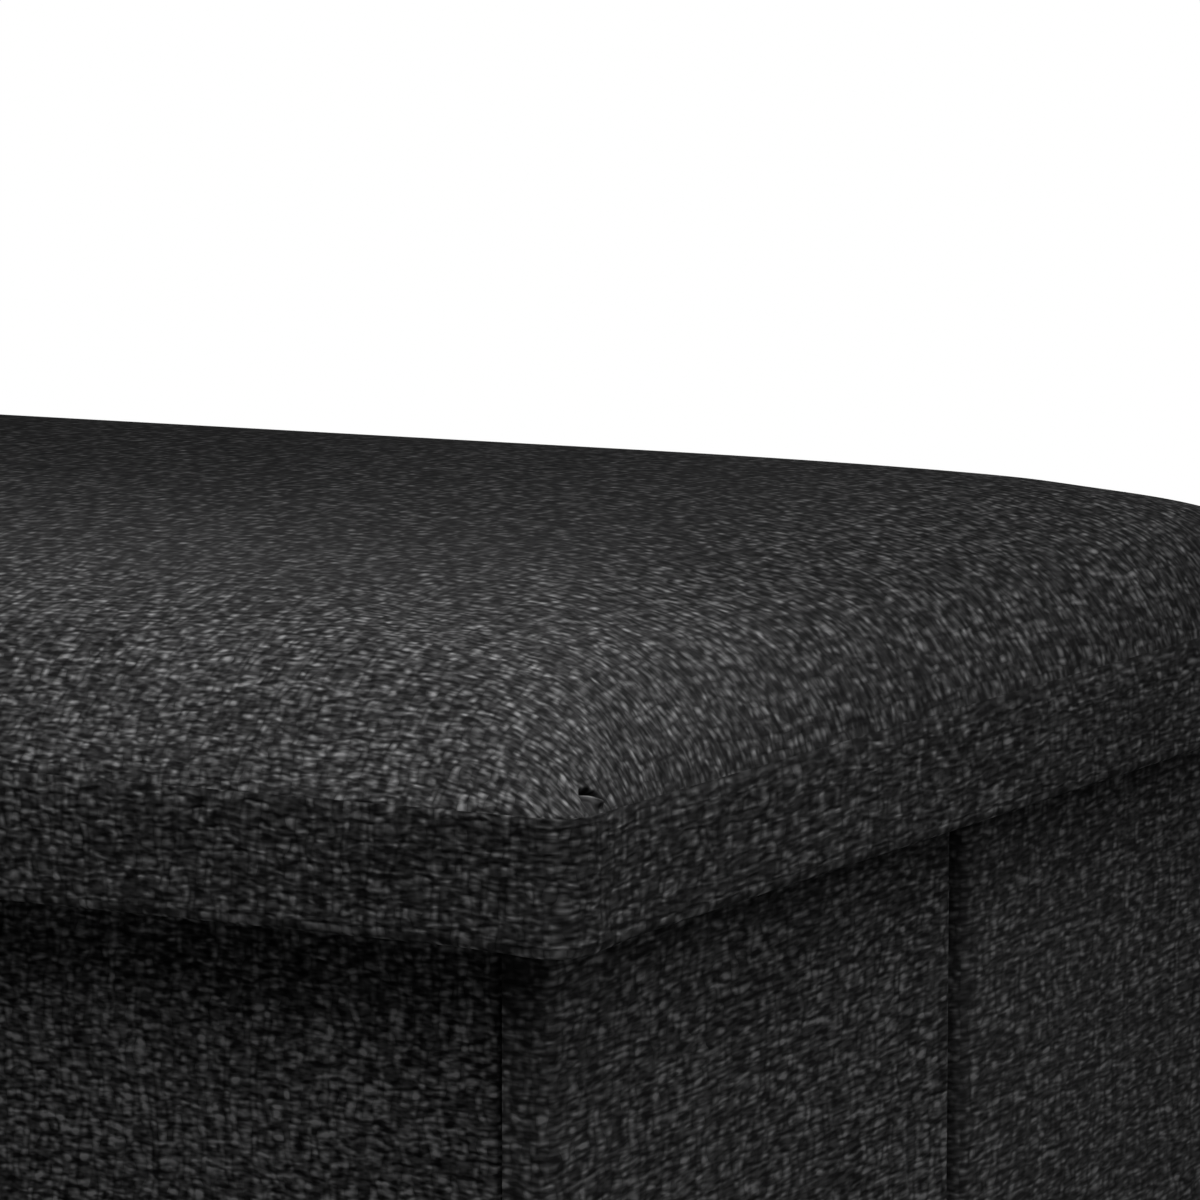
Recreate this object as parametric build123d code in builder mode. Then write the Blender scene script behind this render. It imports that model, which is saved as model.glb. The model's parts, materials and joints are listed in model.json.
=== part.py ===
from build123d import *
import os

os.makedirs("parts", exist_ok=True)

# A folding storage bench: a padded lift-off lid on a cloth-covered box whose ends fold inwards.
# All sizes are in millimetres. X runs along the bench, the front faces -Y and Z points up.
# The origin is on the floor, under the middle of the bench.

# Driving dimensions of the whole bench
length = 760
width = 380
height = 380
overhang = 12  # how far the lid stands out past the walls
lid_band = 26  # height of the lid's straight sides
crown = 38  # rise of the padded top above those sides
lid_corner = 10  # plan radius of the lid's corners

# Thicknesses of what the pieces are made of
cloth = 1
lining = 1
thin_lining = 0.6
tape = 0.6
wall_board = 8
lid_board = 8
base_board = 6
rail = 7

# Clearances between pieces that move past each other
slide_gap = 0.4
fold_gap = 1.0  # under the walls that sweep over the base
seam_gap = 0.7  # between the long walls and the end panels
crease_gap = 1.5  # half of the slot at the mid-fold of an end

# Rounding, hems and strips
wall_corner = 6  # outer corners of the box
crease_edge = 3  # soft edges of the mid-fold
seam_edge = 1.5  # soft ends of the long walls
cover_hem = 30  # outer cloth turned down over the inside of a wall
lid_flap = 13  # outer cloth turned up inside the lid's rim
tape_leg = 22
tape_margin = 6  # the hinge tapes stop this far from the ends of the lining
rim_block = 32  # side of a rounded corner block of the lid's rim

# Fasteners and feet
foot_height = 4
foot_radius = 13
foot_edge = 1.2
foot_inset = 30
nail_radius = 1
nail_low = 2.5
nail_length = 7.5
brad_radius = 0.75
brad_length = 20
staple_crown = 10
staple_wire = 0.8
staple_leg = 5

# Heights worked out from these, from the floor up
base_low = foot_height + thin_lining
base_top = base_low + base_board + thin_lining
wall_low = base_top + fold_gap
lid_low = height - lid_band - crown
rim_low = lid_low + cloth
pad_low = lid_low + lid_band - cloth
lid_board_low = pad_low - lid_board
wall_top = lid_board_low - thin_lining - slide_gap

# Half sizes in plan: outer faces of the box, then its inner faces
wall = cloth + wall_board + lining
box_x = length / 2 - overhang
box_y = width / 2 - overhang
room_x = box_x - wall
room_y = box_y - wall

# Half sizes of the lid's rim: its outer face, then its inner face, then the cloth inside it
rim_x = length / 2 - cloth
rim_y = width / 2 - cloth
well_x = rim_x - rail
well_y = rim_y - rail
well_corner = 10.6
flap_x = well_x - cloth
flap_y = well_y - cloth

# The padded top: how far in from the lid's edge its sections lie, and how it rises over them
pad_insets = (0, 1.5, 5, 11, 20, 35, 60, 130)
pad_rises = (0, 2.6, 8.3, 15.7, 21.7, 26.5, 31.5, crown)
pad_draw = 2  # the sides of the pad are drawn in this much between its corners
pad_corner_growth = 0.3

up = (0, 0, 1)
front_plane = Plane(origin=(0, -room_y, 0), x_dir=(-1, 0, 0), z_dir=up)
back_plane = Plane(origin=(0, room_y, 0), x_dir=(1, 0, 0), z_dir=up)
right_plane = Plane(origin=(room_x, 0, 0), x_dir=(0, -1, 0), z_dir=up)
left_plane = Plane(origin=(-room_x, 0, 0), x_dir=(0, 1, 0), z_dir=up)


def save(piece, name):
    piece.part.label = name
    export_step(piece.part, f"parts/{name}.step")


def wall_outline(plane, ends, depth, corners):
    """Plan of an upright slab: its ends along the wall, its depth outwards, its outer corners."""
    with BuildSketch(plane) as outline:
        with Locations((sum(ends) / 2, sum(depth) / 2)):
            Rectangle(ends[1] - ends[0], depth[1] - depth[0])
        for side, radius in zip((0, -1), corners):
            outer = outline.vertices().group_by(Axis.Y)[-1].sort_by(Axis.X)
            fillet(outer[side], radius)
    return outline.sketch


def wall_panel(name, plane, ends, corners, low):
    """One stiff panel: a board in an outer cover that wraps its edges, closed by a lining."""
    inside = (ends[0] + cloth, ends[1] - cloth)
    inner_corners = tuple(max(radius - cloth, 0.4) for radius in corners)
    board_low = low + cloth
    board_height = wall_top - cloth - board_low
    lining_height = wall_top - cover_hem - board_low
    board_outline = wall_outline(
        plane.offset(board_low), inside, (lining, wall - cloth), inner_corners
    )
    lining_outline = wall_outline(plane.offset(board_low), inside, (0, lining), (0.2, 0.2))

    with BuildPart() as board:
        extrude(board_outline, amount=board_height)
    save(board, f"{name}_board")

    with BuildPart() as inner_cloth:
        extrude(lining_outline, amount=lining_height)
    save(inner_cloth, f"{name}_lining")

    with BuildPart() as cover:
        extrude(wall_outline(plane.offset(low), ends, (0, wall), corners), amount=wall_top - low)
        extrude(board_outline, amount=board_height, mode=Mode.SUBTRACT)
        extrude(lining_outline, amount=lining_height, mode=Mode.SUBTRACT)
    save(cover, f"{name}_cover")


# The long walls stand between the end panels
long_end = room_x - seam_gap
long_ends = (-long_end, long_end)
wall_panel("front", front_plane, long_ends, (seam_edge, seam_edge), wall_low)
wall_panel("back", back_plane, long_ends, (seam_edge, seam_edge), base_top)

# Each end is two halves that meet at the mid-fold, and wraps the corner of the box
first_half = (-box_y, -crease_gap)
second_half = (crease_gap, box_y)
wall_panel("right_rear", right_plane, first_half, (wall_corner, crease_edge), wall_low)
wall_panel("right_front", right_plane, second_half, (crease_edge, wall_corner), wall_low)
wall_panel("left_front", left_plane, first_half, (wall_corner, crease_edge), wall_low)
wall_panel("left_rear", left_plane, second_half, (crease_edge, wall_corner), wall_low)


# Cloth hinges inside the four corners of the box
tape_low = wall_low + cloth + tape_margin
tape_high = wall_top - cover_hem - tape_margin


def corner_tape(name, side, face):
    """An angle of tape in the corner at side (+1 right, -1 left) and face (+1 back, -1 front)."""
    with BuildPart() as strip:
        with BuildSketch(Plane.XY.offset(tape_low)):
            with Locations((side * (room_x - tape_leg / 2), face * (room_y - tape / 2))):
                Rectangle(tape_leg, tape)
            with Locations((side * (room_x - tape / 2), face * (room_y - tape_leg / 2))):
                Rectangle(tape, tape_leg)
        extrude(amount=tape_high - tape_low)
    save(strip, name)


corner_tape("right_rear_hinge_tape", 1, 1)
corner_tape("right_front_hinge_tape", 1, -1)
corner_tape("left_rear_hinge_tape", -1, 1)
corner_tape("left_front_hinge_tape", -1, -1)

# Cloth web at the bottom of each mid-fold's groove
web_depth = crease_edge + tape / 2
for name, side in (("right_crease_web", 1), ("left_crease_web", -1)):
    with BuildPart() as web:
        with BuildSketch(Plane.XY.offset(wall_low)):
            with Locations((side * (box_x - web_depth), 0)):
                Rectangle(tape, 2 * crease_gap)
        extrude(amount=wall_top - wall_low)
    save(web, name)

# The bottom: a board under the walls, dressed in thin cloth on both sides
base_x = box_x - 4
base_y = box_y - 4
base_corner = 5
base_layers = (
    ("base_dust_cover", foot_height, thin_lining),
    ("base_board", base_low, base_board),
    ("base_lining", base_low + base_board, thin_lining),
)
for name, low, thickness in base_layers:
    with BuildPart() as layer:
        with BuildSketch(Plane.XY.offset(low)):
            RectangleRounded(2 * base_x, 2 * base_y, base_corner)
        extrude(amount=thickness)
    save(layer, name)

# A tape along the bottom ties the back wall to the base
base_tape_length = 2 * (room_x - 1.5 * tape_leg)
with BuildPart() as base_tape:
    with BuildSketch(Plane.YZ):
        with Locations((room_y - tape_leg / 2, base_top + tape / 2)):
            Rectangle(tape_leg, tape)
        with Locations((room_y - tape / 2, base_top + tape_leg / 2)):
            Rectangle(tape, tape_leg)
    extrude(amount=base_tape_length / 2, both=True)
save(base_tape, "base_hinge_tape")

# Four nail-on glides, and the nails that hold them
foot_x = box_x - foot_inset
foot_y = box_y - foot_inset
feet = (
    ("front_left_foot", -foot_x, -foot_y),
    ("front_right_foot", foot_x, -foot_y),
    ("back_left_foot", -foot_x, foot_y),
    ("back_right_foot", foot_x, foot_y),
)
for name, x, y in feet:
    with BuildPart() as foot:
        with BuildSketch():
            with Locations((x, y)):
                Circle(foot_radius)
        extrude(amount=foot_height)
        fillet(foot.edges().group_by(Axis.Z)[0], foot_edge)
    save(foot, name)

with BuildPart() as nails:
    with BuildSketch(Plane.XY.offset(nail_low)):
        with Locations(*[(x, y) for _, x, y in feet]):
            Circle(nail_radius)
    extrude(amount=nail_length)
save(nails, "foot_nails")


# The lid's rim: four straight rails between rounded corner blocks
def rim_piece(name, center, size):
    """The part of the lid's rim that lies in a rectangle of this centre and size."""
    with BuildPart() as piece:
        with BuildSketch(Plane.XY.offset(rim_low)):
            RectangleRounded(2 * rim_x, 2 * rim_y, lid_corner - cloth)
            RectangleRounded(2 * well_x, 2 * well_y, well_corner, mode=Mode.SUBTRACT)
            with Locations(center):
                Rectangle(*size, mode=Mode.INTERSECT)
        extrude(amount=lid_board_low - rim_low)
    save(piece, name)


block = (rim_block, rim_block)
block_x = rim_x - rim_block / 2
block_y = rim_y - rim_block / 2
rail_x = 2 * (rim_x - rim_block)
rail_y = 2 * (rim_y - rim_block)
for end_name, side in (("left", -1), ("right", 1)):
    rim_piece(f"lid_rail_{end_name}", (side * rim_x, 0), (3 * rail, rail_y))
    rim_piece(f"lid_corner_front_{end_name}", (side * block_x, -block_y), block)
    rim_piece(f"lid_corner_back_{end_name}", (side * block_x, block_y), block)
rim_piece("lid_rail_front", (0, -rim_y), (rail_x, 3 * rail))
rim_piece("lid_rail_back", (0, rim_y), (rail_x, 3 * rail))

# The lid's board on that rim, and the thin cloth under it
with BuildPart() as top_board:
    with BuildSketch(Plane.XY.offset(lid_board_low)):
        RectangleRounded(2 * rim_x, 2 * rim_y, lid_corner - cloth)
    extrude(amount=lid_board)
save(top_board, "lid_board")

with BuildPart() as lid_lining:
    with BuildSketch(Plane.XY.offset(lid_board_low - thin_lining)):
        RectangleRounded(2 * flap_x, 2 * flap_y, well_corner - cloth)
    extrude(amount=thin_lining)
save(lid_lining, "lid_lining")


# The padded top, crowned, with its sides drawn in a little between the corners
def pad_outline(inset, z, draw):
    """A rounded rectangle at height z, in from the lid's edge, with sides that bow inwards."""
    x = length / 2 - inset
    y = width / 2 - inset
    radius = min(lid_corner + pad_corner_growth * inset, 0.8 * y)
    near_x = x - radius
    near_y = y - radius
    bend = radius * 0.5**0.5
    with BuildSketch(Plane.XY.offset(z)) as outline:
        with BuildLine():
            for side in (1, -1):
                ends_x = (side * near_x, -side * near_x)
                ends_y = (-side * near_y, side * near_y)
                rise = side * y
                reach = side * x
                ThreePointArc((ends_x[0], rise), (0, rise - side * draw), (ends_x[1], rise))
                ThreePointArc((reach, ends_y[0]), (reach - side * draw, 0), (reach, ends_y[1]))
                for face in (1, -1):
                    ThreePointArc(
                        (side * x, face * near_y),
                        (side * (near_x + bend), face * (near_y + bend)),
                        (side * near_x, face * y),
                    )
        make_face()
    return outline.sketch


def pad_outlines(skin):
    """The pad's sections, as seen from outside it or a skin's thickness further in."""
    outlines = []
    for inset, rise in zip(pad_insets, pad_rises):
        z = pad_low + cloth + rise - skin
        draw = pad_draw * min(1, 0.1 + 4 * rise / crown)
        outlines.append(pad_outline(inset + skin, z, draw))
    return outlines


with BuildPart() as foam:
    loft(pad_outlines(cloth), ruled=True)
save(foam, "lid_foam")

# The lid's cover: over the pad, down the rim, under it and up inside
with BuildPart() as lid_cover:
    loft(pad_outlines(0), ruled=True)
    with BuildSketch(Plane.XY.offset(lid_low)):
        RectangleRounded(length, width, lid_corner)
    extrude(amount=lid_band)
    with BuildSketch(Plane.XY.offset(rim_low)):
        RectangleRounded(2 * rim_x, 2 * rim_y, lid_corner - cloth)
    extrude(amount=pad_low - rim_low, mode=Mode.SUBTRACT)
    loft(pad_outlines(cloth), ruled=True, mode=Mode.SUBTRACT)
    with BuildSketch(Plane.XY.offset(lid_low)):
        RectangleRounded(2 * flap_x, 2 * flap_y, well_corner - cloth)
    extrude(amount=cloth, mode=Mode.SUBTRACT)
    with BuildSketch(Plane.XY.offset(lid_low)):
        RectangleRounded(2 * well_x, 2 * well_y, well_corner)
        RectangleRounded(2 * flap_x, 2 * flap_y, well_corner - cloth, mode=Mode.SUBTRACT)
    extrude(amount=cloth + lid_flap)
save(lid_cover, "lid_cover")

# Staples through the cloth into the rails, and brads down through the board
staple_z = rim_low + lid_flap / 2
staple_places = [
    Location((x, face * flap_y, staple_z), (0, 0, 0 if face < 0 else 180))
    for face in (-1, 1)
    for x in range(-300, 301, 75)
] + [
    Location((side * flap_x, y, staple_z), (0, 0, 90 if side > 0 else -90))
    for side in (-1, 1)
    for y in range(-120, 121, 60)
]
leg_x = (staple_crown - staple_wire) / 2
with BuildPart() as staples:
    with Locations(*staple_places):
        Box(staple_crown, staple_wire, staple_wire, align=(Align.CENTER, Align.MIN, Align.CENTER))
        with Locations((-leg_x, 0, 0), (leg_x, 0, 0)):
            Box(
                staple_wire,
                staple_leg,
                staple_wire,
                align=(Align.CENTER, Align.MAX, Align.CENTER),
            )
save(staples, "lid_staples")

brad_x = rim_x - rail / 2
brad_y = rim_y - rail / 2
brad_places = [(x, face * brad_y) for face in (-1, 1) for x in range(-300, 301, 150)]
brad_places += [(side * brad_x, y) for side in (-1, 1) for y in (-100, 0, 100)]
with BuildPart() as brads:
    with BuildSketch(Plane.XY.offset(pad_low - brad_length)):
        with Locations(*brad_places):
            Circle(brad_radius)
    extrude(amount=brad_length)
save(brads, "lid_brads")
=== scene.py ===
# %% [markdown]
# A folding storage bench, dressed over its CAD frame.
# The frame brings the boards, the rim of the lid and the fasteners. This lesson adds the cloth:
# the padded lid, the covered wall panels, the linings and the tapes on which the panels fold.

# %% Load the frame
import json
import math

import bmesh
import bpy
import numpy as np
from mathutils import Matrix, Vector, noise

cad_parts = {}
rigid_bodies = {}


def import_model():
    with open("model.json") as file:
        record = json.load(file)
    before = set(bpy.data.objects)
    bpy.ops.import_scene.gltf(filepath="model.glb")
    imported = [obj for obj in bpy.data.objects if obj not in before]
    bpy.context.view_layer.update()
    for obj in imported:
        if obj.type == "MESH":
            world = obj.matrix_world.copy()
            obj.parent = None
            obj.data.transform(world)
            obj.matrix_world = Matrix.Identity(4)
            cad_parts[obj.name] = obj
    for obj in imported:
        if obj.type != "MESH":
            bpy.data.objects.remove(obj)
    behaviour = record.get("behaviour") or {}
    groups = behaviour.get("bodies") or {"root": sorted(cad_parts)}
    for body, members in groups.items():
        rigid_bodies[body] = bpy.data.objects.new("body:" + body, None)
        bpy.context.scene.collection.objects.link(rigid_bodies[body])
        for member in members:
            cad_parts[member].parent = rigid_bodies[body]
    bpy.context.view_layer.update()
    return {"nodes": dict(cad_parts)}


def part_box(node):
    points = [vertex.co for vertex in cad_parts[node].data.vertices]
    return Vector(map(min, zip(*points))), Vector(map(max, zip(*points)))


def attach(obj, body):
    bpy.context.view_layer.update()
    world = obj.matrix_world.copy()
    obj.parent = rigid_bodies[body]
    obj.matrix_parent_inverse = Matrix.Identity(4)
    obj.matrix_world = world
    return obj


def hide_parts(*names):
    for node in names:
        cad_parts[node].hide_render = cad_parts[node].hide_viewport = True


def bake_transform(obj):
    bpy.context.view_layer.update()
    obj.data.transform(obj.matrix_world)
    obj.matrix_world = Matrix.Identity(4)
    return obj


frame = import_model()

# %% [markdown]
# The camera comes first, because every later look is judged through it. The photo is a close-up of
# one top corner, taken with a long lens, so the camera stands more than a metre away and looks
# slightly down. Its place was fitted to the straight lower edges of the lid.

# %% Camera
EYE = (0.9081, -1.1388, 0.5204)
TURN, DIP = 28.84, 7.22
LENS, SENSOR = 180, 36

bpy.ops.object.select_all(action="DESELECT")
bpy.ops.object.camera_add(location=EYE, rotation=(math.radians(90 - DIP), 0, math.radians(TURN)))
camera = bpy.context.object
camera.name = "photo_camera"
camera.data.lens, camera.data.sensor_width = LENS, SENSOR
bpy.context.scene.camera = camera
print("camera at", EYE)

# %% [markdown]
# A material is a graph of nodes. Writing the graph as arithmetic is easier to read than a list of
# links, so one small class wraps a socket and adds a Math node for each operator. Every other node
# comes from one method, which takes the node's type, its settings and the values of its sockets.

# %% Node arithmetic
class Value:
    """An output socket that takes part in Python's arithmetic."""

    def __init__(self, nodes, socket):
        self.nodes, self.socket = nodes, socket

    def maths(self, operation, *others):
        return self.nodes.maths(operation, self, *others)

    def also(self, output):
        return Value(self.nodes, self.socket.node.outputs[output])

    def __add__(self, other):
        return self.maths("ADD", other)

    def __sub__(self, other):
        return self.maths("SUBTRACT", other)

    def __rsub__(self, other):
        return self.nodes.maths("SUBTRACT", other, self)

    def __mul__(self, other):
        return self.maths("MULTIPLY", other)

    def __truediv__(self, other):
        return self.maths("DIVIDE", other)

    def __pow__(self, other):
        return self.maths("POWER", other)

    __radd__, __rmul__ = __add__, __mul__


class Nodes:
    """The node tree of one finish."""

    def __init__(self, tree):
        self.tree = tree
        tree.nodes.clear()

    def add(self, kind, settings={}, inputs={}, output=0):
        node = self.tree.nodes.new(kind)
        for name, value in settings.items():
            setattr(node, name, value)
        for name, value in inputs.items():
            if isinstance(value, Value):
                self.tree.links.new(value.socket, node.inputs[name])
            else:
                node.inputs[name].default_value = value
        return Value(self, node.outputs[output]) if node.outputs else node

    def maths(self, operation, *values, clamp=False):
        settings = {"operation": operation, "use_clamp": clamp}
        return self.add("ShaderNodeMath", settings, dict(enumerate(values)))

    def clamp(self, value):
        return self.maths("MULTIPLY", value, 1.0, clamp=True)

    def cloud(self, x, y, detail=0.0):
        """Smooth noise from 0 to 1, read at a point of the cloth."""
        point = self.add("ShaderNodeCombineXYZ", inputs={0: x, 1: y})
        settings = {"noise_dimensions": "2D"}
        return self.add("ShaderNodeTexNoise", settings, {"Vector": point, "Scale": 1.0, "Detail": detail})

    def tint(self, share, dark, light):
        """A colour between two, by a share from 0 to 1."""
        colours = {0: share, 6: (*dark, 1), 7: (*light, 1)}
        return self.add("ShaderNodeMix", {"data_type": "RGBA"}, colours, 2)

    def seen(self):
        """1 where the camera, a reflection or a clear part looks, and 0 for all other light."""
        ray = self.add("ShaderNodeLightPath", output="Is Camera Ray")
        return self.clamp(ray + ray.also("Is Glossy Ray") + ray.also("Is Transmission Ray"))


def new_finish(name):
    material = bpy.data.materials.new(name)
    material.use_nodes = True
    return material, Nodes(material.node_tree)


print("node arithmetic ready")

# %% [markdown]
# White paper behind the object and soft boxes round it are what a product photo has. One large lamp
# would be simpler, but it would leave the far sides black. The front box hangs high: it lights the
# front and throws the lid's shadow on the wall. The strip box, close over the front of the lid, has a
# grid: its narrow beam brightens the pad there and fades towards the back. The corner box does so at
# the right end, and the right box lights the right wall. The left and back boxes stand at the
# height of the bench, so they reach the far walls and hardly the top.

# %% Soft boxes
def soft_box(name, place, aim, size, watts, spread=180):
    bpy.ops.object.light_add(type="AREA", location=place)
    lamp = bpy.context.object
    lamp.name = name
    lamp.rotation_euler = (Vector(aim) - Vector(place)).to_track_quat("-Z", "Y").to_euler()
    lamp.data.shape = "RECTANGLE"
    lamp.data.size, lamp.data.size_y = size
    lamp.data.energy = watts
    lamp.data.spread = math.radians(spread)
    lamp.visible_camera = False


soft_box("front_box", (0.25, -1.00, 1.75), (0.10, -0.19, 0.33), (0.7, 0.7), 10.0)
soft_box("strip_box", (0.10, -0.20, 0.70), (0.10, -0.19, 0.37), (1.1, 0.06), 0.50, 60)
soft_box("corner_box", (0.48, -0.13, 0.68), (0.30, -0.04, 0.37), (0.5, 0.14), 1.10)
soft_box("right_box", (1.48, -0.18, 1.10), (0.38, 0.0, 0.28), (0.8, 0.8), 4.8)
soft_box("left_box", (-1.75, 0.10, 0.42), (-0.38, 0.0, 0.20), (0.9, 0.3), 3.6, 90)
soft_box("back_box", (-0.30, 1.75, 0.40), (0.0, 0.19, 0.20), (1.2, 0.3), 4.6, 90)

# %% [markdown]
# The world is white only where the camera, a reflection or a clear part looks at it, so it doesn't
# wash out the dark cloth. The floor is treated alike: it looks pale and keeps the shadow of the bench,
# but it returns little light, so the gap under the lid's hem stays as dark as in the photo.

# %% World and floor
WORLD_LIGHT, FLOOR_GLOW = 0.004, 0.62
WHITE = (1, 1, 1, 1)

world = bpy.data.worlds.new("studio")
bpy.context.scene.world = world
world.use_nodes = True
n = Nodes(world.node_tree)
dim = n.add("ShaderNodeBackground", inputs={"Color": WHITE, "Strength": WORLD_LIGHT})
paper = n.add("ShaderNodeBackground", inputs={"Color": WHITE, "Strength": 1.0})
studio = n.add("ShaderNodeMixShader", {}, {0: n.seen(), 1: dim, 2: paper})
n.add("ShaderNodeOutputWorld", inputs={0: studio})

bpy.ops.mesh.primitive_plane_add(size=5)
floor = bpy.context.object
floor.name = "floor"
material, n = new_finish("floor_paper")
spot = n.add("ShaderNodeTexCoord", output="Object")
grain = n.add("ShaderNodeTexNoise", {}, {"Vector": spot, "Scale": 90.0, "Detail": 3.0})
shader = n.add("ShaderNodeBsdfPrincipled", {}, {
    "Base Color": n.tint(grain, (0.38, 0.38, 0.38), (0.42, 0.42, 0.42)), "Roughness": 0.9})
paper = n.add("ShaderNodeEmission", inputs={"Color": WHITE, "Strength": 1.0})
pale = n.add("ShaderNodeMixShader", {}, {0: n.seen() * FLOOR_GLOW, 1: shader, 2: paper})
n.add("ShaderNodeOutputMaterial", inputs={0: pale})
floor.data.materials.append(material)
bpy.context.scene.view_settings.view_transform = "Standard"
print("floor", tuple(floor.dimensions))

# %% [markdown]
# The cloth is a linen-look plain weave: thick and thin yarns, nearly black, with light grey flecks and
# a fuzzy nap. A photo of cloth could be wrapped round the piece, but a woven pattern worked out from
# the yarns stays sharp at any size. Each yarn has a row or column number, wanders a little, swells into
# slubs, and passes over and under the others. The cover's own UV map is in metres, so the yarns are
# real size. It is drawn out on the ends and the top, where the cloth is pulled. A point attribute says
# where painted shade darkens the cloth in grooves and seams, where painted light and shade make it
# lighter or darker, and where it is rubbed smooth, so that one finish serves every cover.

# %% Linen
ROW, COLUMN = 0.00170, 0.00200
END_STRETCH, TOP_STRETCH = 0.6, 0.5
# MEAN_LIGHT is the weave's lightness where it is worn smooth; the second sets how far the painted shade in
# grooves and seams darkens the cloth.
MEAN_LIGHT, GROOVE_SHADE_STRENGTH = 0.13, 0.8
YARN_DARK, YARN_LIGHT = (0.0030, 0.0030, 0.0031), (0.170, 0.170, 0.172)


def linen():
    material, n = new_finish("charcoal_linen")
    cloth = n.add("ShaderNodeSeparateXYZ", inputs={0: n.add("ShaderNodeUVMap", {"uv_map": "cloth"})})
    u, v = cloth.also("X"), cloth.also("Y")

    def lay(along, across, pitch, shift):
        """Which yarn lies at a point: a count that grows by one from yarn to yarn."""
        drift = (n.cloud(along * 30 + shift, across * 30) - 0.5) * 2.0
        shake = (n.cloud(along * 190 + shift, across * 300) - 0.5) * 1.1
        return across / pitch + drift + shake

    def lightness(along, place, shift):
        """How light a yarn is along its length: short flecks, and now and then a long slub."""
        number = place.maths("FLOOR")
        fleck = n.clamp((n.cloud(along * 420, number * 5.3 + shift) - 0.36) * 2.4)
        slub = n.clamp((n.cloud(along * 60, number * 7.1 + shift) - 0.64) * 6)
        return 0.10 + fleck ** 1.4 * 0.75 + slub * 0.25

    row, column = lay(u, v, ROW, 3.1), lay(v, u, COLUMN, 9.4)
    row_wave, column_wave = (row * math.pi).maths("SINE"), (column * math.pi).maths("SINE")
    over = row_wave.maths("SIGN") * column_wave
    under = column_wave.maths("SIGN") * row_wave
    row_body = (row_wave * row_wave * 0.82 + 0.18) * n.clamp(over * 0.55 + 0.5)
    column_body = (column_wave * column_wave * 0.72 + 0.28) * n.clamp(0.4 - under * 0.55)
    light = row_body * lightness(u, row, 11.0) + column_body * lightness(v, column, 57.0) * 0.95 + 0.05
    fuzz = n.clamp((n.cloud(u * 330, v * 800, 1.0) - 0.33) * 3.0)
    nap = fuzz * 1.15 + n.cloud(u * 24, v * 24, 1.0) * 0.3 + 0.15

    stored = n.add("ShaderNodeAttribute", {"attribute_name": "wear_and_painted_light"}, output="Vector")
    wear_and_painted_light = n.add("ShaderNodeSeparateXYZ", inputs={0: stored})
    # The three values: painted shade in grooves and seams, painted light and shade as a factor, and real wear
    # that smooths the weave.
    painted_groove_shade, painted_light_and_shade, worn = n.clamp(wear_and_painted_light.also("X")), wear_and_painted_light.also("Y") + 1, wear_and_painted_light.also("Z")
    share = (light * nap * (1 - worn) + worn * MEAN_LIGHT) * painted_light_and_shade * (1 - painted_groove_shade * painted_groove_shade * GROOVE_SHADE_STRENGTH)
    height = row_body + column_body
    bump = n.add("ShaderNodeBump", {}, {"Strength": 0.5, "Distance": 0.0004, "Height": height})
    body = n.add("ShaderNodeBsdfPrincipled", {}, {
        "Base Color": n.tint(n.clamp(share), YARN_DARK, YARN_LIGHT),
        "Roughness": 0.9, "Specular IOR Level": 0.0, "Normal": bump})
    n.add("ShaderNodeOutputMaterial", inputs={0: body})
    return material


LINEN = linen()
print("linen nodes", len(LINEN.node_tree.nodes))

# %% [markdown]
# Modelling by hand is a habit of selecting something and then doing something to it. These helpers
# do the selecting in code: a piece in object mode, and faces, edges or points by their place or
# direction in edit mode.

# %% Selecting
def take(piece):
    if bpy.context.object and bpy.context.object.mode != "OBJECT":
        bpy.ops.object.mode_set(mode="OBJECT")
    bpy.ops.object.select_all(action="DESELECT")
    piece.select_set(True)
    bpy.context.view_layer.objects.active = piece


def new_piece(name):
    piece = bpy.context.object
    piece.name = piece.data.name = name
    bpy.ops.object.transform_apply(location=True, rotation=True, scale=True)
    return piece


def new_block(name, middle, size):
    bpy.ops.object.select_all(action="DESELECT")
    bpy.ops.mesh.primitive_cube_add(size=1, location=middle, scale=size)
    return new_piece(name)


def edit(piece):
    take(piece)
    bpy.ops.object.mode_set(mode="EDIT")


def done():
    bpy.ops.object.mode_set(mode="OBJECT")


def pick(kind, test):
    """In edit mode, selects the faces (centre, normal) or edges (two ends) that pass a test."""
    bpy.ops.mesh.select_mode(type=kind)
    bpy.ops.mesh.select_all(action="DESELECT")
    mesh = bmesh.from_edit_mesh(bpy.context.object.data)
    if kind == "FACE":
        chosen = [f for f in mesh.faces if test(f.calc_center_median(), f.normal)]
    else:
        chosen = [e for e in mesh.edges if test(e.verts[0].co, e.verts[1].co)]
    for part in chosen:
        part.select_set(True)
    mesh.select_flush_mode()
    bmesh.update_edit_mesh(bpy.context.object.data)


print("selecting ready")

# %% [markdown]
# The operators that come back in every piece get short names. A sheet that is drawn flat may face
# the wrong way once it is in its place, so one helper turns it over.

# %% Shaping
def push(z):
    """Extrudes what is selected up or down."""
    bpy.ops.mesh.extrude_region_move(TRANSFORM_OT_translate={"value": (0, 0, z)})


def cut(spot, normal):
    """Cuts the whole mesh along a plane, and keeps both sides."""
    bpy.ops.mesh.select_all(action="SELECT")
    bpy.ops.mesh.bisect(plane_co=spot, plane_no=normal)


def round_off(radius, segments):
    bpy.ops.mesh.bevel(offset=radius, segments=segments, profile=0.5)


def apply_modifiers(piece):
    take(piece)
    for name in [m.name for m in piece.modifiers]:
        bpy.ops.object.modifier_apply(modifier=name)


def thicken(piece, thickness, offset=-1):
    solid = piece.modifiers.new("thickness", "SOLIDIFY")
    solid.thickness, solid.offset = thickness, offset
    apply_modifiers(piece)


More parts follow.
